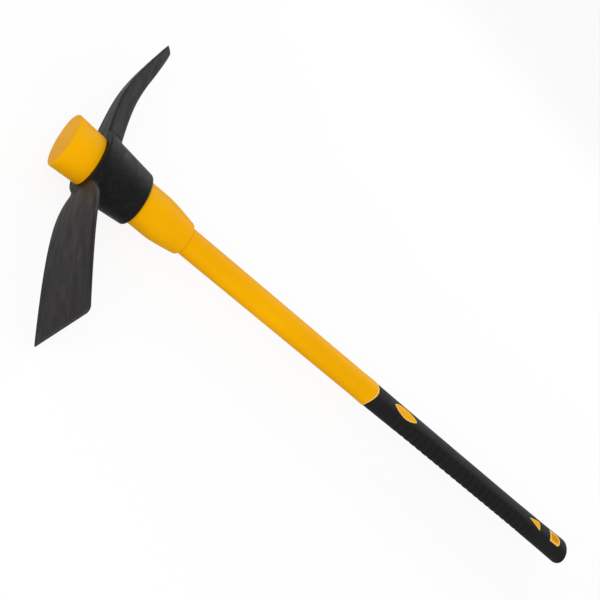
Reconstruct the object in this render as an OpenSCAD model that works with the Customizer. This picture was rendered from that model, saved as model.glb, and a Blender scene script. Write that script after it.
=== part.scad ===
/* [Handle] */
// Overall length from the cap face to the butt
handle_length = 892; // [800:1:1050]
// Shaft size in the direction of the head's arms
shaft_width = 36.7; // [34:0.1:42]
// Shaft size square to the head's arms
shaft_depth = 27.5; // [26:0.1:32]
// Diameter of the fibreglass rod inside the shaft
core_diameter = 17; // [12:0.5:17.5]
// Length of the jacket past the end of the rod
core_cover = 14; // [6:1:30]

/* [Eye] */
// Length of the eye along the handle
eye_length = 63.5; // [55:0.5:75]
// Width of the eye at the cap end
eye_top_width = 66; // [64:0.5:70]
// Depth of the eye at the cap end
eye_top_depth = 45; // [44:0.5:50]
// Width of the eye at its mouth on the handle side
eye_mouth_width = 59.6; // [56:0.2:62]
// Depth of the eye at its mouth on the handle side
eye_mouth_depth = 42.6; // [40:0.2:43.6]
// Gap all round between the eye and the swell when the head is seated
eye_clearance = 0.35; // [0.3:0.05:0.5]

/* [Eye swell] */
// Length of the cap that stands out past the eye
cap_length = 35; // [28:0.5:45]
// How far the cap's foot reaches over the rim of the eye
cap_overhang = 0.7; // [0.5:0.1:3]
// How much further the cap's free end stands out to each side, in line with the arms
cap_flare = 3.6; // [0:0.1:5]
// Rounding of the cap's free edge
cap_edge_radius = 4; // [2:0.1:8]
// Closed thickness of the cap beyond the socket for the shaft
socket_floor = 12; // [8:1:20]
// Parallel length of the neck past the eye
neck_straight = 28; // [15:1:40]
// Tapering length of the neck
neck_taper = 39.5; // [30:0.5:60]
// Wall of the neck where it ends on the shaft
neck_lip = 3.8; // [3:0.1:6]
// Thickness of the adhesive layer round the shaft
bond_thickness = 0.8; // [0.5:0.1:1.5]

/* [Collar] */
// Wall of the eye in line with the arms, at the cap end
collar_top_wall = 10.9; // [9:0.1:13]
// Wall of the eye beside the arms, at the cap end
collar_top_cheek = 8.4; // [6:0.1:10]
// Wall of the eye in line with the arms, at the mouth
collar_mouth_wall = 6.6; // [5:0.1:9]
// Wall of the eye beside the arms, at the mouth
collar_mouth_cheek = 4.5; // [3.5:0.1:6]
// Rounding of the collar's outer edge at the mouth
collar_mouth_radius = 3.2; // [1:0.1:3.4]
// Rounding of the collar's outer edge at the cap end
collar_top_radius = 1.8; // [0.5:0.1:3]

/* [Adze] */
// Reach of the adze from the handle's centre line to its edge
adze_reach = 211; // [180:1:260]
// Width of the adze at its edge
adze_width = 81; // [70:0.1:110]
// Width of the adze at its shoulder
adze_shoulder_width = 64.3; // [50:0.1:70]
// Width of the adze where it leaves the collar
adze_root_width = 34; // [30:0.5:44]
// Height of the adze where it leaves the collar
adze_root_height = 8.5; // [7:0.5:14]
// Thickness of the blade past its shoulder
adze_thickness = 4.6; // [4:0.1:6.5]
// Thickness of the blade just before its edge is ground
adze_edge_thickness = 1.4; // [1.2:0.1:3]
// Length of the ground bevel on the underside
adze_bevel = 13; // [8:0.5:20]
// Cut across each corner of the edge
adze_corner = 2.5; // [1:0.5:7]
// How far the blade's edge lies towards the butt
adze_drop = 31.3; // [20:0.1:45]

/* [Pick] */
// Reach of the pick from the handle's centre line to its tip
pick_reach = 259.5; // [220:0.5:320]
// Width of the pick where it leaves the collar
pick_root_width = 30.5; // [24:0.5:34]
// Width of the pick along its outer half
pick_width = 15; // [9:0.2:18]
// Width left at the ground tip
pick_tip_width = 9.8; // [3:0.2:12]
// Length of the ground tip
pick_point = 17; // [6:0.5:20]
// Height of the pick where it leaves the collar
pick_root_height = 19.2; // [14:0.2:24]
// Height of the pick where its ground tip begins
pick_point_height = 10.6; // [6:0.2:12]
// Height left at the tip
pick_tip_height = 0.8; // [0.6:0.1:3]
// How far the pick's tip lies towards the butt
pick_drop = 37.8; // [25:0.1:60]

/* [Grip] */
// Length of the grip from its sides' front edge to the butt
grip_length = 417.5; // [380:0.5:460]
// Thickness of the rubber
grip_wall = 2.5; // [1.8:0.1:2.8]
// Width of the grip at its front
grip_front_width = 36.5; // [34:0.1:36.6]
// Width of the grip at its waist
grip_waist_width = 35.5; // [34:0.1:37]
// Width of the grip just before the butt is rounded
grip_butt_width = 39; // [37:0.1:44]
// Rounding of the butt
butt_radius = 7; // [4:0.5:10]
// How far the shaft's tongue runs on over the two broad faces
tongue_length = 7; // [0:0.5:12]
// Width of the shaft's raised edge at the grip
tongue_lip_width = 37.7; // [37:0.1:40]
// Length over which the shaft swells to that edge
tongue_swell = 22; // [10:1:40]

/* [Windows] */
// Length of the lens window
lens_length = 46; // [30:1:60]
// Width of the lens window
lens_width = 16; // [10:0.5:18]
// Distance from the grip's front edge to the middle of the lens window
lens_place = 59; // [45:0.5:120]
// Length of the arrow window
arrow_length = 26; // [18:1:40]
// Width of the arrow window at its base
arrow_width = 15; // [10:0.5:18]
// Distance from the butt to the base of the arrow window
arrow_place = 68; // [60:1:110]
// Length of the heel window
heel_length = 23; // [18:0.5:32]
// Width of the heel window
heel_width = 18; // [14:0.5:21]
// Radius of the heel window's rounded end
heel_end_radius = 11.5; // [10.5:0.5:17]
// Distance from the butt to the rounded end of the heel window
heel_place = 21; // [16:0.5:30]
// Rim left round the heel window's recess
heel_rim = 2.6; // [2:0.1:5]
// Depth of the heel window's recess
heel_recess = 1.3; // [0.5:0.1:2]

/* [Hidden] */
$fn = 96;

// Gap between pieces that are moulded or bonded together
bond_gap = 0.1;
// Gap between the cap's shoulder and the top of the seated head
seat_gap = 0.3;
// Rounding under the cap's shoulder
cap_foot_radius = 0.4;
// Distance of the arms' top from the top of the collar
arm_set = 0.1;
// Length that cuts run past a face
overrun = 2;
// How much lower a window lies than the rubber round it
window_set = 0.2;

// Thickness left at the adze's ground edge
edge_land = 0.8;

// Counts of facets and stations
oval_sides = 60;
arm_sides = 32;
arm_steps = 16;
point_steps = 4;
grip_steps = 10;
round_steps = 5;

// Squareness of the arms' sections, where 2 is an oval
adze_square = 9;
pick_square = 6;
// Powers that shape the adze: its curve, its shoulder, its root's height and its thinning
adze_curve_power = 1.51;
adze_shoulder_power = 10.6;
adze_root_power = 6;
adze_thin_power = 4;
// Share of the pick's run at which it bends towards the butt, and how soft that bend is
pick_bend_share = 0.41;
pick_bend_softness = 0.23;
// Powers that shape the pick: its narrowing, its falling height, and its tip's height and sides
pick_root_power = 2.85;
pick_height_power = 3.78;
pick_tip_power = 1.36;
pick_point_power = 2.55;
// Share of the grip's length in front of its waist, and the power of the flare behind it
waist_share = 0.4;
flare_power = 4;
// Share of the wall at the neck's end that is rounded off
lip_round_share = 0.66;
// Share of the neck's taper at which it has eased into its slope, and share of its drop by then
ease_share = 0.4;
ease_drop_share = 0.27;
// Share of the eye's half width at which the arms begin inside the collar
arm_start_share = 0.5;

// Stations along the handle, from the cap face
eye_top_x = cap_length + seat_gap;
eye_mouth_x = eye_top_x + eye_length;
neck_taper_x = eye_mouth_x + neck_straight;
neck_ease_x = neck_taper_x + ease_share * neck_taper;
neck_end_x = neck_taper_x + neck_taper;
grip_front_x = handle_length - grip_length;
core_end_x = handle_length - grip_wall - core_cover;

// Sizes that follow the eye and the shaft
flatness = shaft_depth / shaft_width;
cap_width = eye_top_width + 2 * cap_overhang;
cap_depth = eye_top_depth + 2 * cap_overhang;
cap_end_width = cap_width + 2 * cap_flare;
swell_top_width = eye_top_width - 2 * eye_clearance;
swell_top_depth = eye_top_depth - 2 * eye_clearance;
neck_width = eye_mouth_width - 2 * eye_clearance;
neck_depth = eye_mouth_depth - 2 * eye_clearance;
lip_width = shaft_width + 2 * neck_lip;
lip_depth = shaft_depth + 2 * neck_lip;
ease_width = neck_width - ease_drop_share * (neck_width - lip_width);
ease_depth = neck_depth - ease_drop_share * (neck_depth - lip_depth);
neck_lip_radius = lip_round_share * (neck_lip - bond_thickness);
socket_width = shaft_width + 2 * bond_thickness;
socket_depth = shaft_depth + 2 * bond_thickness;
collar_top_width = eye_top_width + 2 * collar_top_wall;
collar_top_depth = eye_top_depth + 2 * collar_top_cheek;
collar_mouth_width = eye_mouth_width + 2 * collar_mouth_wall;
collar_mouth_depth = eye_mouth_depth + 2 * collar_mouth_cheek;
arm_root = collar_top_width / 2;
arm_start = arm_start_share * eye_top_width / 2;
arm_top_x = eye_top_x + arm_set;

// Oval ring square to the handle, carried along it by wave on the two broad faces
function oval(x, width, depth, wave = 0) = [
    for (i = [0 : oval_sides - 1])
        let (a = 360 * i / oval_sides)
            [x + wave * pow(sin(a), 2), width / 2 * cos(a), depth / 2 * sin(a)]
];

// Ring of an arm square to its reach y, with its faces at the stations top and bottom
function arm_ring(y, top, bottom, width, square) = [
    for (i = [0 : arm_sides - 1])
        let (
            a = 360 * (i + 0.5) / arm_sides,
            u = sign(sin(a)) * pow(abs(sin(a)), 2 / square),
            w = sign(cos(a)) * pow(abs(cos(a)), 2 / square)
        )
            [(top + bottom) / 2 + (bottom - top) / 2 * u, y, width / 2 * w]
];

// Rise of a line that bends once, at the share t of its run
function bent_line(t) = t - pick_bend_share
    + sqrt(pow(t - pick_bend_share, 2) + pow(pick_bend_softness, 2));

// Share of the pick's drop that is reached at the share s of its run
function pick_fall(s) = (bent_line(s) - bent_line(0)) / (bent_line(1) - bent_line(0));

// Quarter round from full size to an edge: [distance along, distance in] for a radius
function quarter(radius) = [
    for (i = [0 : round_steps])
        let (a = 90 * i / round_steps)
            [radius * sin(a), radius * (1 - cos(a))]
];

function reversed(list) = [for (i = [len(list) - 1 : -1 : 0]) list[i]];

// Closed skin over a row of rings of equal counts, with a flat face at each end
module ring_solid(rings) {
    n = len(rings[0]);
    last = len(rings) - 1;
    sides = [
        for (k = [0 : last - 1], i = [0 : n - 1])
            let (
                a = k * n + i,
                b = k * n + (i + 1) % n,
                c = a + n,
                d = b + n
            )
                each [[a, d, b], [a, c, d]]
    ];
    first_end = [for (i = [0 : n - 1]) i];
    last_end = [for (i = [n - 1 : -1 : 0]) last * n + i];
    polyhedron([for (r = rings) each r], concat(sides, [first_end, last_end]));
}

// Width of the grip's outside at the station x
function grip_width(x) =
    let (s = (x - grip_front_x) / grip_length)
        s < waist_share
            ? grip_waist_width
                + (grip_front_width - grip_waist_width) * pow(1 - s / waist_share, 2)
            : grip_waist_width
                + (grip_butt_width - grip_waist_width)
                    * pow((s - waist_share) / (1 - waist_share), flare_power);

// Rings of the grip's outside, set in by inset and ending in the rounded butt
function grip_rings(inset) = let (
    straight = grip_length - butt_radius,
    radius = butt_radius - inset,
    round_x = handle_length - butt_radius
) concat(
    [
        for (k = [0 : grip_steps])
            let (
                s = k / grip_steps,
                x = grip_front_x + s * straight,
                width = grip_width(x)
            )
                oval(
                    x,
                    width - 2 * inset,
                    width * flatness - 2 * inset,
                    tongue_length * (1 - s)
                )
    ],
    [
        for (q = quarter(radius))
            let (width = grip_width(round_x))
                if (q[0] > 0)
                    oval(
                        round_x + q[0],
                        width - 2 * inset - 2 * q[1],
                        width * flatness - 2 * inset - 2 * q[1]
                    )
    ]
);

// Outlines of the windows on the broad faces, with the handle's length along x
module lens_outline(grow) {
    bow = (pow(lens_length, 2) + pow(lens_width, 2)) / (4 * lens_width);
    translate([grip_front_x + lens_place, 0])
        intersection() {
            translate([0, lens_width / 2 - bow]) circle(bow + grow);
            translate([0, bow - lens_width / 2]) circle(bow + grow);
        }
}

module arrow_outline(grow) {
    slope = atan2(arrow_width / 2, arrow_length);
    tip = -arrow_length - grow / sin(slope);
    half_base = (grow - tip) * tan(slope);
    translate([handle_length - arrow_place, 0])
        polygon([[tip, 0], [grow, -half_base], [grow, half_base]]);
}

module heel_outline(grow) {
    half = heel_width / 2 + grow;
    translate([handle_length - heel_place, 0])
        intersection() {
            translate([-heel_length - grow, -half])
                square([heel_length + 2 * grow, 2 * half]);
            union() {
                translate([-heel_length - grow, -half])
                    square([heel_length - heel_end_radius + grow, 2 * half]);
                translate([-heel_end_radius, 0]) circle(heel_end_radius + grow);
            }
        }
}

module window_prisms(grow) {
    height = grip_butt_width + 2 * overrun;
    linear_extrude(height, center = true) lens_outline(grow);
    linear_extrude(height, center = true) arrow_outline(grow);
    linear_extrude(height, center = true) heel_outline(grow);
}

module heel_recesses() {
    depth = grip_width(handle_length - heel_place) * flatness;
    floor_z = depth / 2 - window_set - heel_recess;
    for (side = [0, 1])
        mirror([0, 0, side])
            translate([0, 0, floor_z])
                linear_extrude(heel_recess + overrun)
                    heel_outline(-heel_rim);
}

module collar() {
    top_run = reversed(quarter(collar_top_radius));
    mouth_run = quarter(collar_mouth_radius);
    ring_solid(concat(
        [
            for (q = top_run)
                oval(
                    eye_top_x + collar_top_radius - q[0],
                    collar_top_width - 2 * q[1],
                    collar_top_depth - 2 * q[1]
                )
        ],
        [
            for (q = mouth_run)
                oval(
                    eye_mouth_x - collar_mouth_radius + q[0],
                    collar_mouth_width - 2 * q[1],
                    collar_mouth_depth - 2 * q[1]
                )
        ]
    ));
}

module adze() {
    run = adze_reach - arm_root;
    ground = 1 - adze_bevel / run;
    corner = 1 - adze_corner / run;
    shares = concat(
        [for (k = [0 : arm_steps]) ground * (1 - cos(90 * k / arm_steps))],
        [corner, 1]
    );
    rings = [
        for (s = shares)
            let (
                top = arm_top_x + adze_drop * pow(s, adze_curve_power),
                left = max(0, 1 - s / ground),
                height = s > ground
                    ? edge_land + (adze_edge_thickness - edge_land) * (1 - s) / (1 - ground)
                    : adze_edge_thickness
                        + (adze_thickness - adze_edge_thickness)
                            * (1 - pow(1 - left, adze_thin_power))
                        + (adze_root_height - adze_thickness) * pow(left, adze_root_power),
                width = adze_width
                    - (adze_width - adze_shoulder_width) * (1 - s)
                    - (adze_shoulder_width - adze_root_width) * pow(1 - s, adze_shoulder_power)
                    - (s > corner ? 2 * adze_corner : 0)
            )
                arm_ring(arm_root + s * run, top, top + height, width, adze_square)
    ];
    root = arm_ring(
        arm_start,
        arm_top_x,
        arm_top_x + adze_root_height,
        adze_root_width,
        adze_square
    );
    mirror([0, 1, 0]) ring_solid(concat([root], rings));
}

module pick() {
    run = pick_reach - arm_root;
    ground = 1 - pick_point / run;
    shares = concat(
        [for (k = [0 : arm_steps]) ground * sin(90 * k / arm_steps)],
        [for (k = [1 : point_steps]) ground + (1 - ground) * k / point_steps]
    );
    rings = [
        for (s = shares)
            let (
                top = arm_top_x + pick_drop * pick_fall(s),
                body = min(1, s / ground),
                past = max(0, (s - ground) / (1 - ground)),
                height = pick_root_height
                    - (pick_root_height - pick_point_height) * pow(body, pick_height_power)
                    - (pick_point_height - pick_tip_height) * pow(past, pick_tip_power),
                width = pick_width
                    + (pick_root_width - pick_width) * pow(1 - s, pick_root_power)
                    - (pick_width - pick_tip_width) * pow(past, pick_point_power)
            )
                arm_ring(arm_root + s * run, top, top + height, width, pick_square)
    ];
    root = arm_ring(
        arm_start,
        arm_top_x,
        arm_top_x + pick_root_height,
        pick_root_width,
        pick_square
    );
    ring_solid(concat([root], rings));
}

module eye_bore() {
    slope_width = (eye_mouth_width - eye_top_width) / eye_length * overrun;
    slope_depth = (eye_mouth_depth - eye_top_depth) / eye_length * overrun;
    ring_solid([
        oval(eye_top_x - overrun, eye_top_width - slope_width, eye_top_depth - slope_depth),
        oval(
            eye_mouth_x + overrun,
            eye_mouth_width + slope_width,
            eye_mouth_depth + slope_depth
        )
    ]);
}

// The forged head: collar, adze and pick in one piece of steel
module mattock_head() {
    color("dimgray")
        difference() {
            union() {
                collar();
                adze();
                pick();
            }
            eye_bore();
        }
}

// The moulded swell that fills the eye, with its cap and neck and a socket for the shaft
module eye_swell() {
    color("gold")
        ring_solid(concat(
            [
                for (q = reversed(quarter(cap_edge_radius)))
                    oval(
                        cap_edge_radius - q[0],
                        cap_end_width - 2 * q[1],
                        cap_depth - 2 * q[1]
                    )
            ],
            [
                for (q = quarter(cap_foot_radius))
                    oval(
                        cap_length - cap_foot_radius + q[0],
                        cap_width - 2 * q[1],
                        cap_depth - 2 * q[1]
                    )
            ],
            [
                oval(cap_length, swell_top_width, swell_top_depth),
                oval(eye_top_x, swell_top_width, swell_top_depth),
                oval(eye_mouth_x, neck_width, neck_depth),
                oval(neck_taper_x, neck_width, neck_depth),
                oval(neck_ease_x, ease_width, ease_depth)
            ],
            [
                for (q = quarter(neck_lip_radius))
                    oval(
                        neck_end_x - neck_lip_radius + q[0],
                        lip_width - 2 * q[1],
                        lip_depth - 2 * q[1]
                    )
            ],
            [
                oval(neck_end_x, socket_width, socket_depth),
                oval(socket_floor, socket_width, socket_depth)
            ]
        ));
}

// The adhesive that fills the socket round the shaft's end
module swell_bond() {
    floor_x = socket_floor + bond_gap;
    inner_x = socket_floor + bond_thickness;
    color("khaki")
        ring_solid([
            oval(floor_x, socket_width - 2 * bond_gap, socket_depth - 2 * bond_gap),
            oval(neck_end_x, socket_width - 2 * bond_gap, socket_depth - 2 * bond_gap),
            oval(neck_end_x, shaft_width + 2 * bond_gap, shaft_depth + 2 * bond_gap),
            oval(inner_x, shaft_width + 2 * bond_gap, shaft_depth + 2 * bond_gap)
        ]);
}

// The solid rod that carries the load
module fibreglass_core() {
    start_x = socket_floor + bond_thickness + bond_gap;
    color("wheat")
        translate([start_x, 0, 0])
            rotate([0, 90, 0])
                cylinder(core_end_x - start_x, d = core_diameter);
}

// The yellow moulding round the rod, slimmer under the grip and raised again in its windows
module shaft_jacket() {
    start_x = socket_floor + bond_thickness + bond_gap;
    bore_x = start_x - overrun;
    lip_x = grip_front_x - bond_gap;
    under = grip_wall + bond_gap;
    color("goldenrod")
        difference() {
            union() {
                ring_solid(concat(
                    [
                        oval(start_x, shaft_width, shaft_depth),
                        oval(grip_front_x - tongue_swell, shaft_width, shaft_depth),
                        oval(
                            lip_x,
                            tongue_lip_width,
                            tongue_lip_width * flatness,
                            tongue_length
                        )
                    ],
                    [
                        for (r = grip_rings(under))
                            [for (p = r) [p[0] - bond_gap, p[1], p[2]]]
                    ]
                ));
                intersection() {
                    ring_solid(grip_rings(window_set));
                    window_prisms(0);
                }
            }
            translate([bore_x, 0, 0])
                rotate([0, 90, 0])
                    cylinder(core_end_x + bond_gap - bore_x, d = core_diameter + 2 * bond_gap);
            heel_recesses();
        }
}

// The rubber moulded over the jacket, closed at the butt and open at its windows
module grip_sleeve() {
    color("darkslategray")
        difference() {
            ring_solid(concat(reversed(grip_rings(grip_wall)), grip_rings(0)));
            window_prisms(bond_gap);
        }
}

mattock_head();
eye_swell();
swell_bond();
fibreglass_core();
shaft_jacket();
grip_sleeve();
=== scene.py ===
import math
import bpy
import numpy as np
from mathutils import Matrix, Vector


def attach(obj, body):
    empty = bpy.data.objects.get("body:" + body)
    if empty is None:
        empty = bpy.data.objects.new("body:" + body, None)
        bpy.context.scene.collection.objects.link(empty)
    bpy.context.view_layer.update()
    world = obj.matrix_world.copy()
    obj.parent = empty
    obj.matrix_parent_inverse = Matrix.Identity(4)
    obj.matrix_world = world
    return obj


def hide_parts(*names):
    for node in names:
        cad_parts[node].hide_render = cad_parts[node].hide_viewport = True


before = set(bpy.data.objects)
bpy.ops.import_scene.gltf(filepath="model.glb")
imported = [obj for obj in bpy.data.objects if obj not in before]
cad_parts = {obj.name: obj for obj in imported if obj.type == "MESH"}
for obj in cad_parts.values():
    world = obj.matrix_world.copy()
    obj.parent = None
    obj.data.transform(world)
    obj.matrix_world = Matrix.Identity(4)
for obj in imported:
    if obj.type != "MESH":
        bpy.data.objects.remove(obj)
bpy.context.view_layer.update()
scene = bpy.context.scene
scene.view_settings.view_transform = "Standard"
print("frame loaded:", ", ".join(sorted(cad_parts)))

mm = 0.001  # pieces and floor are in millimetres, looks, lamps and camera in metres


def ovalRing(x, width, depth, angles, wave=0.0):  # a wave carries the broad faces on along x
    along = x + wave * np.sin(angles) ** 2
    return np.stack([along, width / 2 * np.cos(angles), depth / 2 * np.sin(angles)], axis=1)


def ovalBetween(a, b, t):  # width and depth part of the way from a to b
    return a[0] + (b[0] - a[0]) * t, a[1] + (b[1] - a[1]) * t


def evenAngles(count):
    return np.linspace(0.0, 2.0 * math.pi, count, endpoint=False)


def roundOver(radius, steps):  # [along, inward] from full size to the edge
    turn = np.linspace(0.0, math.pi / 2, steps + 1)
    return [(radius * math.sin(t), radius * (1.0 - math.cos(t))) for t in turn]


def roundRings(x, size, radius, steps, turn, way=1, wave=0.0):  # an oval end rounded off along x
    rings = []
    for along, inward in roundOver(radius, steps):
        rings.append(ovalRing(x + way * along, size[0] - 2 * inward, size[1] - 2 * inward, turn, wave))
    return rings


def bandFaces(first, count):  # faces between the ring that starts at point first and the next ring
    pairs = [(first + i, first + (i + 1) % count) for i in range(count)]
    return [(a, b, b + count, a + count) for a, b in pairs]


def loftParts(rings, flip=False):  # skin over equal rings, closed by a pole at both ends
    count = len(rings[0])
    points = list(np.concatenate(rings))
    faces = []
    for k in range(len(rings) - 1):
        faces += bandFaces(k * count, count)
    first = len(points)
    points.append(rings[0].mean(axis=0))
    points.append(rings[-1].mean(axis=0))
    last = (len(rings) - 1) * count
    for i in range(count):
        j = (i + 1) % count
        faces.append((first, j, i))
        faces.append((first + 1, last + i, last + j))
    if flip:
        faces = [f[::-1] for f in faces]
    return np.array(points), faces


def makeObject(name, points, faces):
    mesh = bpy.data.meshes.new(name)
    mesh.from_pydata((np.asarray(points) * mm).tolist(), [], faces)
    mesh.update()
    piece = bpy.data.objects.new(name, mesh)
    scene.collection.objects.link(piece)
    return piece


def loftObject(name, rings, flip=False):
    return makeObject(name, *loftParts(rings, flip))


def bakeModifiers(piece):
    graph = bpy.context.evaluated_depsgraph_get()
    graph.update()
    made = bpy.data.meshes.new_from_object(piece.evaluated_get(graph))
    piece.modifiers.clear()
    old = piece.data
    piece.data = made
    bpy.data.meshes.remove(old)


def carve(piece, tool, operation):
    step = piece.modifiers.new(operation.lower(), "BOOLEAN")
    step.operation = operation
    step.solver = "EXACT"
    step.object = tool
    bakeModifiers(piece)
    bpy.data.objects.remove(tool, do_unlink=True)


def smoothShade(piece, degrees):
    mesh = piece.data
    mesh.polygons.foreach_set("use_smooth", [True] * len(mesh.polygons))
    mesh.set_sharp_from_angle(angle=math.radians(degrees))
    mesh.update()


def dress(piece, *materials):
    piece.data.materials.clear()
    for material in materials:
        piece.data.materials.append(material)


class Shade:
    def __init__(self, name):
        self.material = bpy.data.materials.new(name)
        self.material.use_nodes = True
        self.tree = self.material.node_tree
        self.tree.nodes.clear()
        self.out = self.tree.nodes.new("ShaderNodeOutputMaterial")
        self.body = self.tree.nodes.new("ShaderNodeBsdfPrincipled")
        self.join(self.body.outputs[0], self.out.inputs[0])
        self.coords = self.tree.nodes.new("ShaderNodeTexCoord").outputs["Object"]

    def join(self, a, b):
        self.tree.links.new(a, b)

    def put(self, socket, value):
        if isinstance(value, bpy.types.NodeSocket):
            self.join(value, socket)
        else:
            socket.default_value = value

    def stretch(self, scale):
        mapping = self.tree.nodes.new("ShaderNodeMapping")
        mapping.inputs["Scale"].default_value = scale
        self.join(self.coords, mapping.inputs["Vector"])
        return mapping.outputs[0]

    def noise(self, scale, detail=3.0, rough=0.55, coords=None):
        made = self.tree.nodes.new("ShaderNodeTexNoise")
        made.inputs["Scale"].default_value = scale
        made.inputs["Detail"].default_value = detail
        made.inputs["Roughness"].default_value = rough
        self.join(coords or self.coords, made.inputs["Vector"])
        return made.outputs["Fac"]

    def cells(self, scale):
        made = self.tree.nodes.new("ShaderNodeTexVoronoi")
        made.inputs["Scale"].default_value = scale
        self.join(self.coords, made.inputs["Vector"])
        return made.outputs["Distance"]

    def span(self, value, low, high, toLow=0.0, toHigh=1.0, smooth=True):
        made = self.tree.nodes.new("ShaderNodeMapRange")
        made.interpolation_type = "SMOOTHSTEP" if smooth else "LINEAR"
        self.put(made.inputs["Value"], value)
        made.inputs["From Min"].default_value = low
        made.inputs["From Max"].default_value = high
        made.inputs["To Min"].default_value = toLow
        made.inputs["To Max"].default_value = toHigh
        return made.outputs["Result"]

    def math(self, operation, a, b=0.0):
        made = self.tree.nodes.new("ShaderNodeMath")
        made.operation = operation
        self.put(made.inputs[0], a)
        self.put(made.inputs[1], b)
        return made.outputs[0]

    def axes(self):
        made = self.tree.nodes.new("ShaderNodeSeparateXYZ")
        self.join(self.coords, made.inputs[0])
        return made.outputs

    def tint(self, share, a, b):
        made = self.tree.nodes.new("ShaderNodeMix")
        made.data_type = "RGBA"
        self.put(made.inputs["Factor"], share)
        colours = [s for s in made.inputs if s.type == "RGBA"]
        for socket, value in zip(colours, (a, b)):
            self.put(socket, value if isinstance(value, bpy.types.NodeSocket) else (*value, 1.0))
        return [s for s in made.outputs if s.type == "RGBA"][0]

    def bump(self, height, distance, strength, under=None):
        made = self.tree.nodes.new("ShaderNodeBump")
        made.inputs["Strength"].default_value = strength
        made.inputs["Distance"].default_value = distance
        self.join(height, made.inputs["Height"])
        if under is not None:
            self.join(under, made.inputs["Normal"])
        return made.outputs[0]

    def set(self, **values):
        for name, value in values.items():
            self.put(self.body.inputs[name], value)


# in the looks, a noise is [scale, detail, roughness] and a bump is [distance, strength]
lacquerLook = {
    "bare": (0.0156, 0.0134, 0.0141), "pickBare": (0.0108, 0.0098, 0.0104), "wiped": (0.0294, 0.0262, 0.0273),
    "collar": (0.0028, 0.0026, 0.0028), "collarLight": (0.0060, 0.0056, 0.0059),
    # the brown tone near the adze's root is a painted reflection of the yellow cap
    "collarGrain": (0.0190, 0.0178, 0.0186), "capReflectionBrown": (0.050, 0.039, 0.033),
    "worn": (0.13, 0.125, 0.12), "rust": (0.050, 0.031, 0.020),
    "pickWiped": 0.45, "capReflectionShare": 0.65, "grainShare": 0.6, "wornShare": 0.45, "rustShare": 0.35,
    "armZone": (0.038, 0.052), "pickZone": (0.0, 0.04), "rootZone": (-0.105, -0.050), "rootEnd": (0.0, 0.03),
    "adzeEdge": (-0.2055, -0.2108), "pickEdge": (0.2490, 0.2590),
    "streak": (150.0, 5.0, 0.62), "streakRun": (1.0, 0.15, 1.0), "streakSpan": (0.30, 0.72),
    "cloud": (46.0, 4.0, 0.6), "cloudRun": (1.0, 0.45, 1.0), "cloudSpan": (0.30, 0.70),
    "mottle": (70.0, 4.0), "mottleSpan": (0.38, 0.66),
    "grit": (620.0, 3.0, 0.7), "grainSpan": (0.46, 0.68), "wornSpan": (0.42, 0.66),
    "spots": (95.0, 6.0, 0.7), "spotSpan": (0.64, 0.74),
    "scale": (120.0, 4.0, 0.6), "scaleBump": (0.00022, 0.55),
    "skin": (640.0, 3.0, 0.65), "skinBump": (0.00030, 0.55), "streakBump": (0.00008, 0.5),
    "roughSpan": (0.3, 0.7, 0.55, 0.43), "specular": 0.085,
}


def forgedLacquer():
    look = lacquerLook
    s = Shade("forgedLacquer")
    y = s.axes()[1]
    streak = s.noise(*look["streak"], s.stretch(look["streakRun"]))
    cloud = s.noise(*look["cloud"], s.stretch(look["cloudRun"]))
    wiped = s.math("MULTIPLY", s.span(streak, *look["streakSpan"]), s.span(cloud, *look["cloudSpan"]))
    thinner = s.span(y, *look["pickZone"], 1.0, look["pickWiped"])  # the pick keeps more of its lacquer
    bare = s.tint(s.span(y, *look["pickZone"]), look["bare"], look["pickBare"])
    arm = s.tint(s.math("MULTIPLY", wiped, thinner), bare, look["wiped"])
    capReflection = s.span(y, *look["rootZone"], 0.0, look["capReflectionShare"])  # painted reflection of the yellow cap, towards the adze's root
    capReflection = s.math("MULTIPLY", capReflection, s.span(y, *look["rootEnd"], 1.0, 0.0))
    arm = s.tint(capReflection, arm, look["capReflectionBrown"])
    mottle = s.span(s.noise(*look["mottle"]), *look["mottleSpan"])
    collar = s.tint(mottle, look["collar"], look["collarLight"])
    grit = s.noise(*look["grit"])
    grain = s.math("MULTIPLY", s.span(grit, *look["grainSpan"]), look["grainShare"])  # rough forged skin
    collar = s.tint(grain, collar, look["collarGrain"])
    colour = s.tint(s.span(s.math("ABSOLUTE", y), *look["armZone"]), collar, arm)
    edge = s.math("MAXIMUM", s.span(y, *look["adzeEdge"]), s.span(y, *look["pickEdge"]))
    wear = s.math("MULTIPLY", edge, s.span(grit, *look["wornSpan"]))
    colour = s.tint(s.math("MULTIPLY", wear, look["wornShare"]), colour, look["worn"])
    spots = s.math("MULTIPLY", s.span(s.noise(*look["spots"]), *look["spotSpan"]), look["rustShare"])
    scale = s.bump(s.noise(*look["scale"]), *look["scaleBump"])
    skin = s.bump(s.noise(*look["skin"]), *look["skinBump"], scale)
    s.set(**{
        "Base Color": s.tint(spots, colour, look["rust"]),
        "Roughness": s.span(streak, *look["roughSpan"]),
        "Normal": s.bump(streak, *look["streakBump"], skin),
        "Specular IOR Level": look["specular"],
    })
    return s.material


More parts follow.
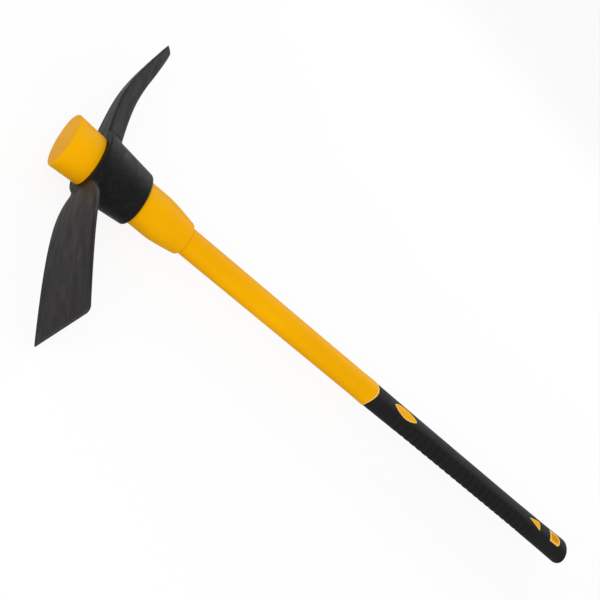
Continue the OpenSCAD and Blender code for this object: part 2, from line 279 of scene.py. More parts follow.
yellowTones = {  # light colour, deep colour, roughness
    "yellowMoulding": ((0.90, 0.432, 0.0006), (0.865, 0.398, 0.0006), 0.40),
    # the window rim tone is a painted highlight on the rounded rims
    "windowRimHighlight": ((0.92, 0.57, 0.125), (0.90, 0.54, 0.105), 0.36),
    # the window floor tone is painted shade for the heel's recess
    "windowFloorShade": ((0.72, 0.27, 0.0008), (0.66, 0.235, 0.0006), 0.50),
}
yellowLook = {
    "patch": (16.0, 3.0, 0.5), "patchRun": (0.5, 1.0, 1.0), "patchSpan": (0.35, 0.68),
    "speck": (900.0, 2.0), "speckSpan": (0.66, 0.78), "speckShare": 0.10, "speckTone": (0.60, 0.27, 0.0),
    "flow": (210.0, 3.0, 0.5), "flowRun": (0.12, 1.0, 1.0), "flowSpan": (0.3, 0.7),
    "flowBump": (0.00005, 0.4), "grain": (1500.0, 2.0, 0.6), "grainBump": (0.00002, 0.35),
    "smoother": 0.05, "rougher": 0.06, "specular": 0.025,
}


def yellowMoulding(name):
    look = yellowLook
    light, deep, rough = yellowTones[name]
    s = Shade(name)
    patch = s.span(s.noise(*look["patch"], s.stretch(look["patchRun"])), *look["patchSpan"])
    speck = s.math("MULTIPLY", s.span(s.noise(*look["speck"]), *look["speckSpan"]), look["speckShare"])
    flow = s.noise(*look["flow"], s.stretch(look["flowRun"]))
    peel = s.bump(flow, *look["flowBump"])
    s.set(**{
        "Base Color": s.tint(speck, s.tint(patch, light, deep), look["speckTone"]),
        "Roughness": s.span(flow, *look["flowSpan"], rough - look["smoother"], rough + look["rougher"]),
        "Normal": s.bump(s.noise(*look["grain"]), *look["grainBump"], peel),
        "Specular IOR Level": look["specular"],
    })
    return s.material


rubberLook = {
    "dark": (0.0068, 0.0064, 0.0066), "light": (0.0104, 0.0099, 0.0101),
    "cloud": (38.0, 4.0, 0.55), "cloudSpan": (0.34, 0.68), "roughSpan": (0.0, 1.0, 0.70, 0.80),
    # the plain side's lighter tone is a painted sheen
    "plainZone": (-0.0100, -0.0040), "plainSheenTone": (0.0220, 0.0210, 0.0215), "plainSheenShare": 0.48,
    "plainSmooth": 0.04, "dust": (420.0, 3.0, 0.65), "dustSpan": (0.54, 0.74),
    "dustTone": (0.026, 0.025, 0.0255), "dustShare": 0.40, "pebble": 1150.0, "pebbleBump": (0.00005, 0.6),
    "grain": (2400.0, 2.0), "grainBump": (0.000025, 0.5), "specular": 0.125,
}


def gripRubber():
    look = rubberLook
    s = Shade("gripRubber")
    plain = s.span(s.axes()[1], *look["plainZone"])  # the side without ribs is smoother, and lighter by a painted sheen
    cloud = s.span(s.noise(*look["cloud"]), *look["cloudSpan"])
    colour = s.tint(cloud, look["dark"], look["light"])
    # painted sheen: the plain side lighter
    colour = s.tint(s.math("MULTIPLY", plain, look["plainSheenShare"]), colour, look["plainSheenTone"])
    dust = s.math("MULTIPLY", s.span(s.noise(*look["dust"]), *look["dustSpan"]), look["dustShare"])
    rough = s.span(cloud, *look["roughSpan"], False)
    pebble = s.bump(s.cells(look["pebble"]), *look["pebbleBump"])
    s.set(**{
        "Base Color": s.tint(dust, colour, look["dustTone"]),
        "Roughness": s.math("SUBTRACT", rough, s.math("MULTIPLY", plain, look["plainSmooth"])),
        "Normal": s.bump(s.noise(*look["grain"]), *look["grainBump"], pebble),
        "Specular IOR Level": look["specular"],
    })
    return s.material


rodLook = {
    "dark": (0.60, 0.52, 0.34), "light": (0.74, 0.67, 0.49),
    "fibre": (900.0, 3.0, 0.6), "fibreRun": (0.02, 1.0, 1.0),
    "toneSpan": (0.35, 0.65), "roughSpan": (0.3, 0.7, 0.32, 0.48), "bump": (0.00005, 0.5),
}
adhesiveLook = {
    "dark": (0.46, 0.38, 0.22), "light": (0.60, 0.52, 0.34), "bubble": 430.0,
    "toneSpan": (0.1, 0.5), "roughSpan": (0.0, 0.6, 0.28, 0.42), "bump": (0.00006, 0.5),
}


def innerFinish(s, look, pattern):
    s.set(**{
        "Base Color": s.tint(s.span(pattern, *look["toneSpan"]), look["dark"], look["light"]),
        "Roughness": s.span(pattern, *look["roughSpan"]),
        "Normal": s.bump(pattern, *look["bump"]),
    })
    return s.material


def glassRod():
    s = Shade("glassRod")
    return innerFinish(s, rodLook, s.noise(*rodLook["fibre"], s.stretch(rodLook["fibreRun"])))


def curedAdhesive():
    s = Shade("curedAdhesive")
    return innerFinish(s, adhesiveLook, s.cells(adhesiveLook["bubble"]))


lacquer = forgedLacquer()
yellow = yellowMoulding("yellowMoulding")
# paler yellow: a painted highlight along the rims of the windows and the jacket's lip
rimHighlightYellow = yellowMoulding("windowRimHighlight")
# deeper orange: painted shade on the floor of the heel's recess
recessShadeYellow = yellowMoulding("windowFloorShade")
rubber = gripRubber()
print("materials made")


head = {
    "sides": 160, "eyeTopX": 35.3, "eyeMouthX": 98.8, "eyeTop": (66.0, 45.0), "eyeMouth": (59.6, 42.6),
    "boreRows": (-0.05, 0.0, 0.25, 0.5, 0.75, 1.0, 1.05),
    "collarTop": (87.8, 61.8), "collarMouth": (72.8, 51.6), "collarRows": 18,
    "topRound": 1.8, "topSteps": 6, "mouthRound": 3.2, "mouthSteps": 8,
    "armTop": 35.4, "armRoot": 43.9, "armStart": 16.5, "fillet": 4.0,
    "rootRows": (28.0, 56.0, 0.5), "middleRows": 48, "endRows": 13, "crease": 34,
}
adze = {
    "reach": 211.0, "width": 81.0, "shoulder": 64.3, "root": 34.0, "neckIn": 10.6, "rootHeight": 8.5,
    "rootFall": 6, "thick": 4.6, "thinning": 4, "edgeThick": 1.4, "bevel": 13.0, "land": 0.6,
    "drop": 31.3, "curve": 1.51, "nearCorner": 5.9, "farCorner": 1.4, "round": 1.5,
}
pick = {
    "reach": 259.5, "root": 30.5, "width": 15.0, "narrowing": 2.85, "tip": 9.8, "tipNarrowing": 2.55,
    "point": 17.0, "rootHeight": 19.2, "pointHeight": 10.6, "thinning": 3.78,
    "tipHeight": 0.8, "tipThinning": 1.36, "drop": 37.8, "bend": 0.41, "soft": 0.23, "round": 2.4,
}


def roundedBox(top, height, low, high, radius):  # section ring and its outward directions, x across, z wide
    broad, flank, corner = 16, 8, 6  # points on each side and corner
    most = 0.46  # a corner's largest share of a side
    radius = min(radius, most * height, most * (high - low))
    ring, out = [], []

    def side(a, b, count, normal):
        for t in np.linspace(0.0, 1.0, count, endpoint=False):
            ring.append((a[0] + (b[0] - a[0]) * t, a[1] + (b[1] - a[1]) * t))
            out.append(normal)

    def bend(cx, cz, start):
        for t in np.linspace(start, start - math.pi / 2, corner, endpoint=False):
            ring.append((cx + radius * math.cos(t), cz + radius * math.sin(t)))
            out.append((math.cos(t), math.sin(t)))

    x0, x1 = top + radius, top + height - radius
    z0, z1 = low + radius, high - radius
    side((top, z0), (top, z1), broad, (-1.0, 0.0))
    bend(x0, z1, math.pi)
    side((x0, high), (x1, high), flank, (0.0, 1.0))
    bend(x1, z1, math.pi / 2)
    side((top + height, z1), (top + height, z0), broad, (1.0, 0.0))
    bend(x1, z0, 0.0)
    side((x1, low), (x0, low), flank, (0.0, -1.0))
    bend(x0, z0, -math.pi / 2)
    return np.array(ring), np.array(out)


def collarSize(x):
    a = head["eyeTopX"] + head["topRound"]
    b = head["eyeMouthX"] - head["mouthRound"]
    return ovalBetween(head["collarTop"], head["collarMouth"], np.clip((x - a) / (b - a), 0.0, 1.0))


def armRing(y, top, height, low, high, radius):  # section at reach y, flared into the collar
    ring, facing = roundedBox(top, height, low, high, radius)
    push = np.stack([np.clip(facing[:, 0], 0.0, 1.0), facing[:, 1]], axis=1)  # below and at the sides
    r = head["fillet"]
    least, most = np.zeros(len(ring)), np.full(len(ring), r)
    halvings = 26
    for _ in range(halvings):
        flare = (least + most) / 2
        at = ring + push * flare[:, None]
        width, depth = collarSize(at[:, 0])
        u, v = y / (width / 2), at[:, 1] / (depth / 2)
        out = np.sqrt(u * u + v * v)
        steep = np.sqrt((u / (width / 2)) ** 2 + (v / (depth / 2)) ** 2) / out
        away = np.minimum((out - 1.0) / steep, r)
        solid = (r - flare) ** 2 + (r - away) ** 2 >= r * r
        least, most = np.where(solid, flare, least), np.where(solid, most, flare)
    at = ring + push * least[:, None]
    return np.stack([at[:, 0], np.full(len(at), y), at[:, 1]], axis=1)


def armStations(reach, tail):  # close rows at the root and towards the end
    start, stop, step = head["rootRows"]
    root = np.arange(start, stop, step)
    middle = np.linspace(stop, reach - tail, head["middleRows"])[1:]
    end = reach - tail + tail * np.sin(np.linspace(0.0, math.pi / 2, head["endRows"]))[1:]
    return np.concatenate([[head["armStart"]], root, middle, end])


def cornerCut(y, radius):  # what a rounded corner of the adze takes off its half width
    u = max(0.0, y - adze["reach"] + radius)
    return radius - math.sqrt(max(0.0, radius * radius - u * u))


def adzeRings():
    run = adze["reach"] - head["armRoot"]
    ground = 1.0 - adze["bevel"] / run
    thick, edgeThick, land = adze["thick"], adze["edgeThick"], adze["land"]
    rings = []
    for y in armStations(adze["reach"], adze["bevel"]):
        s = max(0.0, (y - head["armRoot"]) / run)
        left = max(0.0, 1.0 - s / ground)
        top = head["armTop"] + adze["drop"] * s ** adze["curve"]
        if s > ground:
            height = land + (edgeThick - land) * (1.0 - s) / (1.0 - ground)
        else:
            height = edgeThick + (thick - edgeThick) * (1.0 - (1.0 - left) ** adze["thinning"])
            height += (adze["rootHeight"] - thick) * left ** adze["rootFall"]
        width = adze["width"] - (adze["width"] - adze["shoulder"]) * (1.0 - s)
        half = (width - (adze["shoulder"] - adze["root"]) * (1.0 - s) ** adze["neckIn"]) / 2
        low, high = cornerCut(y, adze["farCorner"]) - half, half - cornerCut(y, adze["nearCorner"])
        rings.append(armRing(y, top, height, low, high, adze["round"]) * np.array([1.0, -1.0, 1.0]))
    return rings


def bentLine(t):  # a line that bends once, towards the butt
    return t - pick["bend"] + math.hypot(t - pick["bend"], pick["soft"])


def pickRings():
    run = pick["reach"] - head["armRoot"]
    ground = 1.0 - pick["point"] / run
    rings = []
    for y in armStations(pick["reach"], pick["point"]):
        s = max(0.0, (y - head["armRoot"]) / run)
        past = max(0.0, (s - ground) / (1.0 - ground))
        top = head["armTop"] + pick["drop"] * (bentLine(s) - bentLine(0.0)) / (bentLine(1.0) - bentLine(0.0))
        thinned = min(1.0, s / ground) ** pick["thinning"]
        height = pick["rootHeight"] - (pick["rootHeight"] - pick["pointHeight"]) * thinned
        height -= (pick["pointHeight"] - pick["tipHeight"]) * past ** pick["tipThinning"]
        width = pick["width"] + (pick["root"] - pick["width"]) * (1.0 - s) ** pick["narrowing"]
        width -= (pick["width"] - pick["tip"]) * past ** pick["tipNarrowing"]
        rings.append(armRing(y, top, height, -width / 2, width / 2, pick["round"]))
    return rings


def buildHead():
    turn = evenAngles(head["sides"])
    topX, mouthX = head["eyeTopX"] + head["topRound"], head["eyeMouthX"] - head["mouthRound"]
    outer = roundRings(topX, head["collarTop"], head["topRound"], head["topSteps"], turn, -1)[::-1]
    for t in np.linspace(0.0, 1.0, head["collarRows"])[1:-1]:
        x = topX + t * (mouthX - topX)
        outer.append(ovalRing(x, *collarSize(x), turn))
    outer += roundRings(mouthX, head["collarMouth"], head["mouthRound"], head["mouthSteps"], turn)
    piece = loftObject("headForging", outer)
    carve(piece, loftObject("adzeBlank", adzeRings(), True), "UNION")
    carve(piece, loftObject("pickBlank", pickRings()), "UNION")
    bore = []
    for t in head["boreRows"]:
        x = head["eyeTopX"] + t * (head["eyeMouthX"] - head["eyeTopX"])
        bore.append(ovalRing(x, *ovalBetween(head["eyeTop"], head["eyeMouth"], t), turn))
    carve(piece, loftObject("eyeBore", bore), "DIFFERENCE")
    smoothShade(piece, head["crease"])
    dress(piece, lacquer)
    return piece


headForging = buildHead()
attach(headForging, "head")
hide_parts("mattock_head")
print("head forged:", len(headForging.data.polygons), "faces")


swell = {
    "sides": 160, "capEnd": (74.6, 46.4), "capFoot": (67.4, 46.4), "capLength": 35.0,
    "rimDeep": 2.2, "rimIn": (4.0, 18.0), "rimFull": 0.66, "rimRows": 17, "footRound": 0.3, "footSteps": 4,
    "seat": (65.3, 44.3), "neck": (58.9, 41.9), "neckX": 126.8, "endX": 166.3,
    "ease": ((0.12, 0.035), (0.25, 0.13), (0.4, 0.27), (0.6, 0.49), (0.8, 0.74)),  # along, fallen
    "lip": (44.3, 35.1), "lipRound": 2.0, "lipSteps": 6, "socket": (38.3, 29.1), "floor": 12.0, "crease": 38,
}


def buildSwell():
    turn = evenAngles(swell["sides"])
    (capWide, capDeep), (inWide, inDeep) = swell["capEnd"], swell["rimIn"]
    rings = []
    for t in np.linspace(math.pi / 2, 0.0, swell["rimRows"]):  # a full rim that eases into the flat end
        inward = 1.0 - math.cos(t) ** swell["rimFull"]
        x = swell["rimDeep"] * (1.0 - math.sin(t) ** swell["rimFull"])
        rings.append(ovalRing(x, capWide - 2 * inWide * inward, capDeep - 2 * inDeep * inward, turn))
    footX = swell["capLength"] - swell["footRound"]
    rings += roundRings(footX, swell["capFoot"], swell["footRound"], swell["footSteps"], turn)
    rings.append(ovalRing(swell["capLength"], *swell["seat"], turn))
    rings.append(ovalRing(head["eyeMouthX"], *swell["neck"], turn))
    rings.append(ovalRing(swell["neckX"], *swell["neck"], turn))
    lipX = swell["endX"] - swell["lipRound"]
    for along, fallen in swell["ease"]:
        x = swell["neckX"] + along * (lipX - swell["neckX"])
        rings.append(ovalRing(x, *ovalBetween(swell["neck"], swell["lip"], fallen), turn))
    rings += roundRings(lipX, swell["lip"], swell["lipRound"], swell["lipSteps"], turn)
    rings.append(ovalRing(swell["endX"], *swell["socket"], turn))
    rings.append(ovalRing(swell["floor"], *swell["socket"], turn))
    piece = loftObject("eyeSwell", rings)
    smoothShade(piece, swell["crease"])
    dress(piece, yellow)
    return piece


eyeSwell = buildSwell()
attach(eyeSwell, "handle")
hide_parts("eye_swell")
print("eye swell moulded")


jacket = {
    "sides": 160, "width": 36.7, "depth": 27.5, "shaftRows": (13.0, 160.0, 260.0, 360.0, 430.0),
    "swellRun": 22.0, "swellRows": 11, "swellLast": 0.95,
    "lipWidth": 37.7, "lipRound": 1.0, "lipSteps": 5, "lipGap": 0.25, "rimHighlightBands": 6,
    "under": 2.75, "tailGap": 0.2, "tailStart": 20.0, "tailRows": 16, "buttSteps": 4, "crease": 40,
}
# the grip outline serves the jacket and the rubber
grip = {
    "length": 892.0, "front": 474.5, "frontWidth": 36.5, "waistWidth": 35.5, "buttWidth": 39.0,
    "waist": 0.4, "flare": 4.0, "flat": jacket["depth"] / jacket["width"], "buttRound": 7.0,
    "wall": 2.45, "tongue": 7.0, "tongueRun": 36.0, "lipRound": 1.3,
}


def gripWidth(x):
    s = (x - grip["front"]) / (grip["length"] - grip["front"])
    waist, least = grip["waist"], grip["waistWidth"]
    if s < waist:
        return least + (grip["frontWidth"] - least) * (1.0 - s / waist) ** 2
    return least + (grip["buttWidth"] - least) * ((s - waist) / (1.0 - waist)) ** grip["flare"]


def gripRing(x, inset, turn):
    wave = grip["tongue"] * max(0.0, 1.0 - (x - grip["front"]) / grip["tongueRun"]) ** 2
    width = gripWidth(x)
    return ovalRing(x, width - 2 * inset, width * grip["flat"] - 2 * inset, turn, wave)


def buttRings(inset, turn, steps):
    x = grip["length"] - grip["buttRound"]
    width = gripWidth(x)
    rings = []
    for along, inward in roundOver(grip["buttRound"] - inset, steps)[1:]:
        cut = 2 * (inset + inward)
        rings.append(ovalRing(x + along, width - cut, width * grip["flat"] - cut, turn))
    return rings


windows = {
    "lens": {"x": 533.5, "length": 46.0, "width": 16.0, "rim": 1.1, "sunk": 0.35, "crisp": 10.0},
    "arrow": {"x": 824.0, "length": 26.0, "width": 15.0, "rim": 1.2, "sunk": 0.45, "crisp": 16.0,
              "back": 0.36},
    "heel": {"x": 871.0, "length": 23.0, "width": 18.0, "rim": 3.0, "sunk": 1.2, "crisp": 24.0,
             "end": 11.5},
}


def windowRing(kind, grow, turn):
    w = windows[kind]
    ux, uy = np.cos(turn), np.sin(turn)
    parts = []

    def plane(nx, ny, away):  # straight edge at a distance from the middle
        parts.append(np.clip(nx * ux + ny * uy, 0.0, None) / (away + grow))

    def disc(cx, cy, radius, keep=True):
        b = ux * cx + uy * cy
        reach = b + np.sqrt(np.clip(b * b - cx * cx - cy * cy + (radius + grow) ** 2, 0.0, None))
        parts.append(np.where(keep, 1.0 / reach, 0.0))

    half = w["width"] / 2
    if kind == "lens":
        middle = w["x"]
        bow = (w["length"] ** 2 + w["width"] ** 2) / (4 * w["width"])
        disc(0.0, half - bow, bow)
        disc(0.0, bow - half, bow)
    elif kind == "arrow":
        back = w["back"] * w["length"]
        middle = w["x"] - back
        tilt = math.atan2(half, w["length"])
        away = (w["length"] - back) * math.sin(tilt)
        plane(1.0, 0.0, back)
        plane(-math.sin(tilt), math.cos(tilt), away)
        plane(-math.sin(tilt), -math.cos(tilt), away)
    else:
        middle = w["x"] - w["end"]
        plane(-1.0, 0.0, w["length"] - w["end"])
        plane(0.0, 1.0, half)
        plane(0.0, -1.0, half)
        disc(0.0, 0.0, w["end"], ux > 0)
    r = sum(p ** w["crisp"] for p in parts) ** (-1.0 / w["crisp"])
    return middle, r * ux, r * uy


def faceHeight(x, y):
    width = np.array([gripWidth(v) for v in np.atleast_1d(x)])
    return width * grip["flat"] / 2 * np.sqrt(np.clip(1.0 - (y / (width / 2)) ** 2, 0.0, 1.0))


# the rim slot carries a painted highlight, the floor slot painted shade in the heel's recess
bodySlot, highlightRimSlot, shadedFloorSlot = 0, 1, 2
island = {  # insets from the window's outline, lifts from the grip's face
    "sides": 168, "edge": ((0.0, -3.2), (0.0, -0.55), (0.10, -0.30), (0.28, -0.12), (0.55, -0.03)),
    "rimLift": -0.03, "fallInsets": (0.2, 0.45, 0.7), "fallLift": -0.10, "footLift": 0.06,
    "floorRows": (0.7, 0.4, 0.15),
}


def islandParts(kind, side, start):  # a raised yellow field with a rounded rim and a sunk floor
    w = windows[kind]
    rim, deep = w["rim"], w["sunk"]
    turn = evenAngles(island["sides"])
    count = len(turn)
    fallIn, footIn, floorIn = island["fallInsets"]
    profile = [*island["edge"], (rim, island["rimLift"]), (rim + fallIn, island["fallLift"]),
               (rim + footIn, island["footLift"] - deep), (rim + floorIn, -deep)]
    layers = []
    for inset, lift in profile:
        middle, px, py = windowRing(kind, -inset, turn)
        layers.append(np.stack([middle + px, py, faceHeight(middle + px, py) + lift], axis=1))
    for share in island["floorRows"]:
        x, y = middle + px * share, py * share
        layers.append(np.stack([x, y, faceHeight(x, y) - deep], axis=1))
    points = np.concatenate(layers + [[(middle, 0.0, float(faceHeight(middle, 0.0)[0]) - deep)]])
    rimHighlightBands = range(2, len(profile) - 3)  # from above the wall to where the rim falls, painted paler as a highlight
    floorBand = len(profile) - 2
    floor = shadedFloorSlot if kind == "heel" else bodySlot  # only the heel's floor is deeper in colour, painted shade of its recess
    faces, slots = [], []
    for k in range(len(layers) - 1):
        faces += bandFaces(k * count, count)
        slots += [floor if k >= floorBand else highlightRimSlot if k in rimHighlightBands else bodySlot] * count
    last = (len(layers) - 1) * count
    faces += [(last + i, last + (i + 1) % count, len(points) - 1) for i in range(count)]
    slots += [floor] * count
    faces.append(tuple(reversed(range(count))))
    slots.append(bodySlot)
    if side < 0:
        points = points * np.array([1.0, 1.0, -1.0])
        faces = [f[::-1] for f in faces]
    return points, [tuple(v + start for v in f) for f in faces], slots


def buildJacket():
    turn = evenAngles(jacket["sides"])
    count = len(turn)
    rings = [ovalRing(x, jacket["width"], jacket["depth"], turn) for x in jacket["shaftRows"]]
    begin = grip["front"] - jacket["swellRun"]
    lipX = grip["front"] - jacket["lipGap"] - jacket["lipRound"]
    for t in np.append(np.linspace(0.0, jacket["swellLast"], jacket["swellRows"]), 1.0):
        width = jacket["width"] + (jacket["lipWidth"] - jacket["width"]) * t * t * (3 - 2 * t)
        x = begin + (lipX - begin) * t
        rings.append(ovalRing(x, width, width * grip["flat"], turn, grip["tongue"] * t * t))
    lip = (jacket["lipWidth"], jacket["lipWidth"] * grip["flat"])
    rings += roundRings(lipX, lip, jacket["lipRound"], jacket["lipSteps"], turn, 1, grip["tongue"])[1:]
    lipEnd = len(rings) - 1
    rings.append(gripRing(grip["front"] - jacket["tailGap"], jacket["under"], turn))
    tailX, buttX = grip["front"] + jacket["tailStart"], grip["length"] - grip["buttRound"]
    for x in np.linspace(tailX, buttX, jacket["tailRows"]):
        rings.append(gripRing(x, jacket["under"], turn))
    rings += buttRings(jacket["under"], turn, jacket["buttSteps"])
    points, faces = loftParts(rings)
    slots = [bodySlot] * len(faces)
    # the lip's last rounding bands get a painted highlight
    slots[(lipEnd - jacket["rimHighlightBands"]) * count:lipEnd * count] = [highlightRimSlot] * (jacket["rimHighlightBands"] * count)
    for kind in windows:
        for side in (1, -1):
            more, skin, paint = islandParts(kind, side, len(points))
            points = np.concatenate([points, more])
            faces += skin
            slots += paint
    piece = makeObject("shaftJacket", points, faces)
    smoothShade(piece, jacket["crease"])
    dress(piece, yellow, rimHighlightYellow, recessShadeYellow)  # body, painted rim highlight and painted floor shade slots
    piece.data.polygons.foreach_set("material_index", slots)
    return piece


shaftJacket = buildJacket()
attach(shaftJacket, "handle")
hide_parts("shaft_jacket")
print("jacket moulded with", 2 * len(windows), "window fields")


ribs = {
    "pitch": 12.0, "start": 518.0, "count": 25, "depth": 0.62, "halfWidth": 1.15, "crown": 1.05,
    "fineDepth": 0.38, "fineWidth": 0.75, "edge": -6.6, "fade": 1.3,
    "frontDip": 6.0, "dipFrom": 12.0, "dipTo": 66.0, "rearDip": 3.5, "rearRun": 36.0,
}
ribs["end"] = ribs["start"] + ribs["pitch"] * (ribs["count"] - 1)
ribInputs = [name for name in ribs if name != "count"]


def ribTree():
    tree = bpy.data.node_groups.new("gripRibTree", "GeometryNodeTree")
    face = tree.interface
    face.new_socket("Geometry", in_out="INPUT", socket_type="NodeSocketGeometry")
    sockets = {}
    for name in ribInputs:
        sockets[name] = face.new_socket(name, in_out="INPUT", socket_type="NodeSocketFloat")
    sockets["material"] = face.new_socket("material", in_out="INPUT", socket_type="NodeSocketMaterial")
    face.new_socket("Geometry", in_out="OUTPUT", socket_type="NodeSocketGeometry")
    add, join = tree.nodes.new, tree.links.new
    given = add("NodeGroupInput").outputs
    result = add("NodeGroupOutput")

    def feed(socket, value):
        if isinstance(value, bpy.types.NodeSocket):
            join(value, socket)
        else:
            socket.default_value = value

    def calc(operation, *values):
        made = add("ShaderNodeMath")
        made.operation = operation
        for socket, value in zip(made.inputs, values):
            feed(socket, value)
        return made.outputs[0]

    def fall(value, low, high):  # 1 at low, easing to 0 at high
        made = add("ShaderNodeMapRange")
        made.interpolation_type = "SMOOTHSTEP"
        names = ("Value", "From Min", "From Max", "To Min", "To Max")
        for name, v in zip(names, (value, low, high, 1.0, 0.0)):
            feed(made.inputs[name], v)
        return made.outputs["Result"]

    def cyclic(value):  # distance to the nearest whole number
        return calc("ABSOLUTE", calc("SUBTRACT", calc("FRACT", calc("ADD", value, 0.5)), 0.5))

    place = add("ShaderNodeSeparateXYZ")
    join(add("GeometryNodeInputPosition").outputs[0], place.inputs[0])
    x, y = place.outputs[0], place.outputs[1]
    phase = calc("DIVIDE", calc("SUBTRACT", x, given["start"]), given["pitch"])
    near = cyclic(phase)
    away = calc("MULTIPLY", near, given["pitch"])
    groove = calc("MULTIPLY", fall(away, 0.0, given["halfWidth"]), given["depth"])
    hump = calc("SUBTRACT", 1.0, calc("MULTIPLY", near, 2.0))
    crown = calc("MULTIPLY", calc("MULTIPLY", hump, hump), given["crown"])
    finePerRib = 4.0
    fineNear = cyclic(calc("MULTIPLY", phase, finePerRib))
    fineAway = calc("MULTIPLY", fineNear, calc("DIVIDE", given["pitch"], finePerRib))
    fine = calc("MULTIPLY", fall(fineAway, 0.0, given["fineWidth"]), given["fineDepth"])
    between = calc("MULTIPLY", calc("GREATER_THAN", x, given["start"]), calc("LESS_THAN", x, given["end"]))
    nearRow = calc("MULTIPLY", calc("GREATER_THAN", calc("ADD", x, given["halfWidth"]), given["start"]),
                   calc("LESS_THAN", calc("SUBTRACT", x, given["halfWidth"]), given["end"]))
    sunk = calc("ADD", calc("MULTIPLY", groove, nearRow), calc("MULTIPLY", calc("ADD", crown, fine), between))
    dipFrom, dipTo = [calc("ADD", given["start"], given[name]) for name in ("dipFrom", "dipTo")]
    frontDip = calc("MULTIPLY", fall(x, dipFrom, dipTo), given["frontDip"])
    rearFrom = calc("SUBTRACT", given["end"], given["rearRun"])
    rearDip = calc("MULTIPLY", calc("SUBTRACT", 1.0, fall(x, rearFrom, given["end"])), given["rearDip"])
    edge = calc("SUBTRACT", given["edge"], calc("ADD", frontDip, rearDip))
    half = calc("MULTIPLY", given["fade"], 0.5)
    across = fall(y, calc("SUBTRACT", edge, half), calc("ADD", edge, half))
    skin = add("GeometryNodeInputNamedAttribute")
    skin.data_type = "FLOAT"
    skin.inputs["Name"].default_value = "skin"
    amount = calc("MULTIPLY", calc("MULTIPLY", sunk, across), skin.outputs["Attribute"])
    push = add("ShaderNodeVectorMath")
    push.operation = "SCALE"
    join(add("GeometryNodeInputNormal").outputs[0], push.inputs[0])
    join(calc("MULTIPLY", amount, -1.0), push.inputs["Scale"])
    move = add("GeometryNodeSetPosition")
    join(given["Geometry"], move.inputs["Geometry"])
    join(push.outputs[0], move.inputs["Offset"])
    real = add("GeometryNodeRealizeInstances")
    join(move.outputs[0], real.inputs[0])
    paint = add("GeometryNodeSetMaterial")
    join(real.outputs[0], paint.inputs["Geometry"])
    join(given["material"], paint.inputs["Material"])
    join(paint.outputs[0], result.inputs[0])
    return tree, sockets


sleeve = {
    # from, to and step in degrees
    "arcs": ((-100.0, 100.0, 4.0), (100.0, 122.0, 1.4), (122.0, 238.0, 2.6), (238.0, 260.0, 1.4)),
    "halfRib": (0.0, 0.35, 0.7, 1.05, 1.4, 2.0, 2.6, 2.85, 3.0, 3.15, 3.4, 4.4, 5.6, 5.85, 6.0),
    "grooveRows": (0.35, 0.7, 1.05, 1.4), "frontStart": 1.2, "frontRows": 14,
    "rearStart": 2.5, "rearRows": 24, "innerStart": 0.5, "innerRows": 14, "innerSteps": 4,
    "lipInsets": (2.1, 1.2), "lipSteps": 5, "buttSteps": 10, "endShares": (0.66, 0.33),
    "windowGap": 0.22, "cutterHalf": 30.0, "crease": 42,
}


def sleeveAngles():  # closer where the ribs end, wider over the plain side
    parts = []
    for a, b, wanted in sleeve["arcs"]:
        step = (b - a) / round((b - a) / wanted)
        parts.append(np.arange(a, b - step / 2, step))
    return np.radians(np.concatenate(parts))


def sleeveStations():
    start, end, groove = ribs["start"], ribs["end"], sleeve["grooveRows"]
    cell = np.array(sleeve["halfRib"])
    cell = np.concatenate([cell, ribs["pitch"] - cell[-2:0:-1]])
    rows = [start + ribs["pitch"] * k + c for k in range(ribs["count"] - 1) for c in cell]
    before = list(np.linspace(grip["front"] + sleeve["frontStart"], start - groove[-1], sleeve["frontRows"]))
    before += [start - d for d in groove[-2::-1]]
    after = [end] + [end + d for d in groove]
    buttX = grip["length"] - grip["buttRound"]
    return before + rows + after + list(np.linspace(end + sleeve["rearStart"], buttX, sleeve["rearRows"]))


def windowCutter():  # prisms through both broad faces
    points, faces = [], []
    for kind in windows:
        middle, px, py = windowRing(kind, sleeve["windowGap"], evenAngles(island["sides"]))
        count, start = len(px), len(points)
        for z in (-sleeve["cutterHalf"], sleeve["cutterHalf"]):
            points += [(middle + a, b, z) for a, b in zip(px, py)]
        faces += bandFaces(start, count)
        faces.append(tuple(reversed(range(start, start + count))))
        faces.append(tuple(range(start + count, start + 2 * count)))
    return makeObject("windowCutter", points, faces)


def buildSleeve():
    turn = sleeveAngles()
    front, buttX = grip["front"], grip["length"] - grip["buttRound"]
    inner = buttRings(grip["wall"], turn, sleeve["innerSteps"])[::-1]
    for x in np.linspace(buttX, front + sleeve["innerStart"], sleeve["innerRows"]):
        inner.append(gripRing(x, grip["wall"], turn))
    lip = [gripRing(front, inset, turn) for inset in sleeve["lipInsets"]]
    for along, inward in reversed(roundOver(grip["lipRound"], sleeve["lipSteps"])):
        lip.append(gripRing(front + grip["lipRound"] - along, inward, turn))
    outer = [gripRing(x, 0.0, turn) for x in sleeveStations()] + buttRings(0.0, turn, sleeve["buttSteps"])
    outer += [outer[-1] * np.array([1.0, share, share]) for share in sleeve["endShares"]]
    piece = loftObject("gripSleeve", inner + lip + outer)
    mark = piece.data.attributes.new("skin", "FLOAT", "POINT")  # 1 where ribs may be pressed in
    first = (len(inner) + len(lip)) * len(turn)
    values = np.zeros(len(piece.data.vertices))
    values[first:first + len(outer) * len(turn)] = 1.0
    mark.data.foreach_set("value", values)
    piece.data.polygons.foreach_set("use_smooth", [True] * len(piece.data.polygons))
    tree, sockets = ribTree()
    step = piece.modifiers.new("ribs", "NODES")
    step.node_group = tree
    for name in ribInputs:
        step[sockets[name].identifier] = ribs[name] * mm
    step[sockets["material"].identifier] = rubber
    bakeModifiers(piece)
    carve(piece, windowCutter(), "DIFFERENCE")
    smoothShade(piece, sleeve["crease"])
    dress(piece, rubber)
    return piece


gripSleeve = buildSleeve()
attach(gripSleeve, "handle")
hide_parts("grip_sleeve")
print("sleeve ribbed:", len(gripSleeve.data.polygons), "faces")

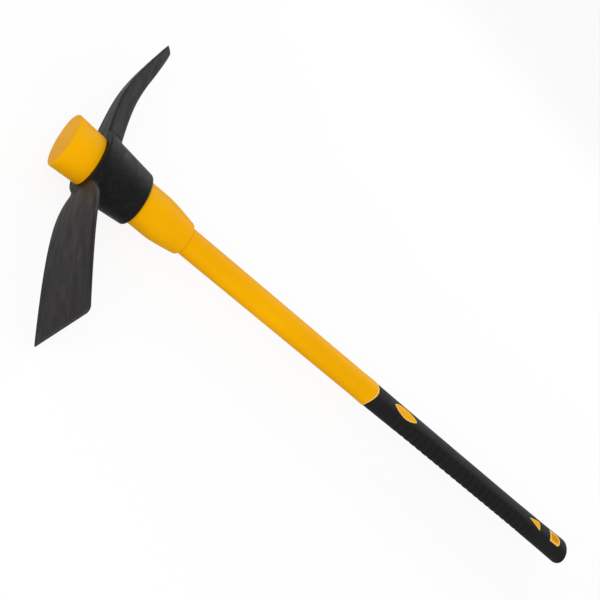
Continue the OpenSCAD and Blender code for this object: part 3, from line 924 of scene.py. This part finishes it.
dress(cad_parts["fibreglass_core"], glassRod())
dress(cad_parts["swell_bond"], curedAdhesive())
print("inner pieces dressed")


studio = {
    "floorZ": -41.1, "floorHalf": 12000.0, "floorShade": 0.70, "floorSeen": 0.95,
    "lift": 0.88, "worldLight": 0.64,
    "lamps": (  # name, place, target, size, power
        ("frontLamp", (-0.55, -1.20, 1.00), (0.10, 0.0, 0.0), (1.2, 1.2), 15.6),
        ("rearStrip", (1.05, 1.10, 0.55), (1.05, 0.0, 0.0), (1.6, 0.4), 6.0),
    ),
}
photoView = {
    "sensor": 36.0, "lens": 66.03, "clipEnd": 60.0, "place": (-0.2745, -0.8609, 0.6853),
    "right": (0.6672, 0.1010, 0.7380), "up": (-0.5720, 0.7041, 0.4208), "back": (-0.4772, -0.7029, 0.5276),
}


def whiteToView(tree):  # 1 where the viewer, a gloss or a clear ray looks straight at it
    path = tree.nodes.new("ShaderNodeLightPath")
    total = path.outputs["Is Camera Ray"]
    for name in ("Is Glossy Ray", "Is Transmission Ray"):
        made = tree.nodes.new("ShaderNodeMath")
        made.operation = "MAXIMUM"
        tree.links.new(total, made.inputs[0])
        tree.links.new(path.outputs[name], made.inputs[1])
        total = made.outputs[0]
    return total


def buildFloor():
    half, z = studio["floorHalf"], studio["floorZ"]
    corners = [(-half, -half, z), (half, -half, z), (half, half, z), (-half, half, z)]
    piece = makeObject("paleFloor", corners, [(0, 1, 2, 3)])
    s = Shade("paleFloor")
    matt = s.tree.nodes.new("ShaderNodeBsdfDiffuse")
    seen = whiteToView(s.tree)
    s.join(s.tint(seen, (studio["floorShade"],) * 3, (studio["floorSeen"],) * 3), matt.inputs["Color"])
    glow = s.tree.nodes.new("ShaderNodeEmission")
    mix = s.tree.nodes.new("ShaderNodeMixShader")
    s.join(s.math("MULTIPLY", seen, studio["lift"]), mix.inputs[0])
    s.join(matt.outputs[0], mix.inputs[1])
    s.join(glow.outputs[0], mix.inputs[2])
    s.join(mix.outputs[0], s.out.inputs[0])
    s.tree.nodes.remove(s.body)
    dress(piece, s.material)


def buildLight():
    world = bpy.data.worlds.new("paleRoom")
    scene.world = world
    world.use_nodes = True
    tree = world.node_tree
    back = tree.nodes["Background"]
    back.inputs["Color"].default_value = (1.0, 1.0, 1.0, 1.0)
    span = tree.nodes.new("ShaderNodeMapRange")
    tree.links.new(whiteToView(tree), span.inputs["Value"])
    span.inputs["To Min"].default_value = studio["worldLight"]
    span.inputs["To Max"].default_value = 1.0
    tree.links.new(span.outputs["Result"], back.inputs["Strength"])
    for name, place, target, size, power in studio["lamps"]:
        lamp = bpy.data.lights.new(name, "AREA")
        lamp.shape = "RECTANGLE"
        lamp.size, lamp.size_y = size
        lamp.energy = power
        holder = bpy.data.objects.new(name, lamp)
        scene.collection.objects.link(holder)
        aim = Vector(target) - Vector(place)
        holder.matrix_world = Matrix.Translation(place) @ aim.to_track_quat("-Z", "Y").to_matrix().to_4x4()


def buildCamera():
    view = bpy.data.cameras.new("photoView")
    view.sensor_width = photoView["sensor"]
    view.lens = photoView["lens"]
    view.clip_end = photoView["clipEnd"]
    holder = bpy.data.objects.new("photoView", view)
    columns = [photoView[name] for name in ("right", "up", "back", "place")]
    holder.matrix_world = Matrix([*zip(*columns), (0.0, 0.0, 0.0, 1.0)])
    scene.collection.objects.link(holder)
    scene.camera = holder


buildFloor()
buildLight()
buildCamera()
print("stage lit")
